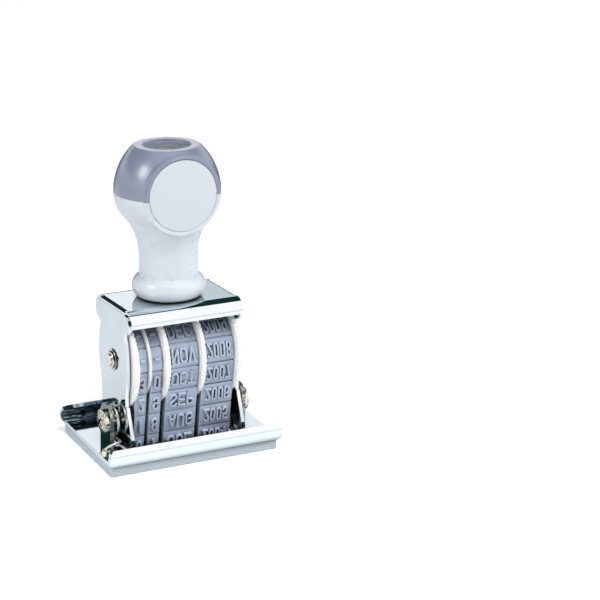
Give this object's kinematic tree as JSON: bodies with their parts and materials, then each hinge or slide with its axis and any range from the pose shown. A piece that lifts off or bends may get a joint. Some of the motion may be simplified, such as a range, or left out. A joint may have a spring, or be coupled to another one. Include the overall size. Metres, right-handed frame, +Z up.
{
  "type": "date stamp",
  "caption": "Hand date stamp: rubber date bands turned by finger wheels in a rocking chromed frame over a rubber text pad, with a round knob on top.",
  "frame": {"origin": "on the ground under the middle of the rubber text pad", "axes": "+X along the printed lines, -Y towards the user's side with the badge, +Z up"},
  "size_m": [0.0428, 0.0307, 0.0706],
  "materials": {
    "chrome_sheet": "bright plated sheet",
    "nickel_hardware": "warm nickel plating",
    "spring_wire": "drawn wire",
    "bridge_steel": "drawn bar",
    "pad_rubber": "moulded rubber",
    "band_rubber": "moulded rubber",
    "wheel_plastic": "moulded, satin",
    "knob_white": "moulded, soft gloss",
    "knob_grey": "moulded, soft gloss",
    "badge_white": "smooth",
    "insert_brass": "turned"
  },
  "bodies": {
    "base": {"text_pad": "pad_rubber", "die_plate": "chrome_sheet", "spring_anchor": "nickel_hardware", "return_spring": "spring_wire"},
    "upper": {"frame": "chrome_sheet", "pivot_screws": "nickel_hardware", "pivot_nuts": "nickel_hardware", "band_bridge": "bridge_steel", "bridge_rivets": "nickel_hardware", "wheel_axle": "nickel_hardware", "axle_washers": "nickel_hardware", "thrust_washers": "nickel_hardware", "wheel_spacer": "wheel_plastic", "day_tens_band": "band_rubber", "day_units_band": "band_rubber", "month_band": "band_rubber", "year_band": "band_rubber", "knob_body": "knob_white", "knob_cap": "knob_grey", "knob_badge": "badge_white", "knob_insert": "insert_brass", "handle_screw": "nickel_hardware", "handle_washer": "nickel_hardware"},
    "tens_wheel": {"day_tens_wheel": "wheel_plastic"},
    "units_wheel": {"day_units_wheel": "wheel_plastic"},
    "months_wheel": {"month_wheel": "wheel_plastic"},
    "years_wheel": {"year_wheel": "wheel_plastic"}
  },
  "joints": [
    {"name": "frame_rock", "type": "hinge", "parent": "base", "child": "upper", "pos_m": [0, -0.0016, 0.0085], "axis": [1, 0, 0], "range_deg": [0, 8], "stiffness_Nm_per_rad": 0.085, "springref_deg": -17.19},
    {"name": "day_tens_turn", "type": "hinge", "parent": "upper", "child": "tens_wheel", "pos_m": [0, 0.00095, 0.02201], "axis": [1, 0, 0], "continuous": true},
    {"name": "day_units_turn", "type": "hinge", "parent": "upper", "child": "units_wheel", "pos_m": [0, 0.00095, 0.02201], "axis": [1, 0, 0], "continuous": true},
    {"name": "month_turn", "type": "hinge", "parent": "upper", "child": "months_wheel", "pos_m": [0, 0.00095, 0.02201], "axis": [1, 0, 0], "continuous": true},
    {"name": "year_turn", "type": "hinge", "parent": "upper", "child": "years_wheel", "pos_m": [0, 0.00095, 0.02201], "axis": [1, 0, 0], "continuous": true}
  ]
}
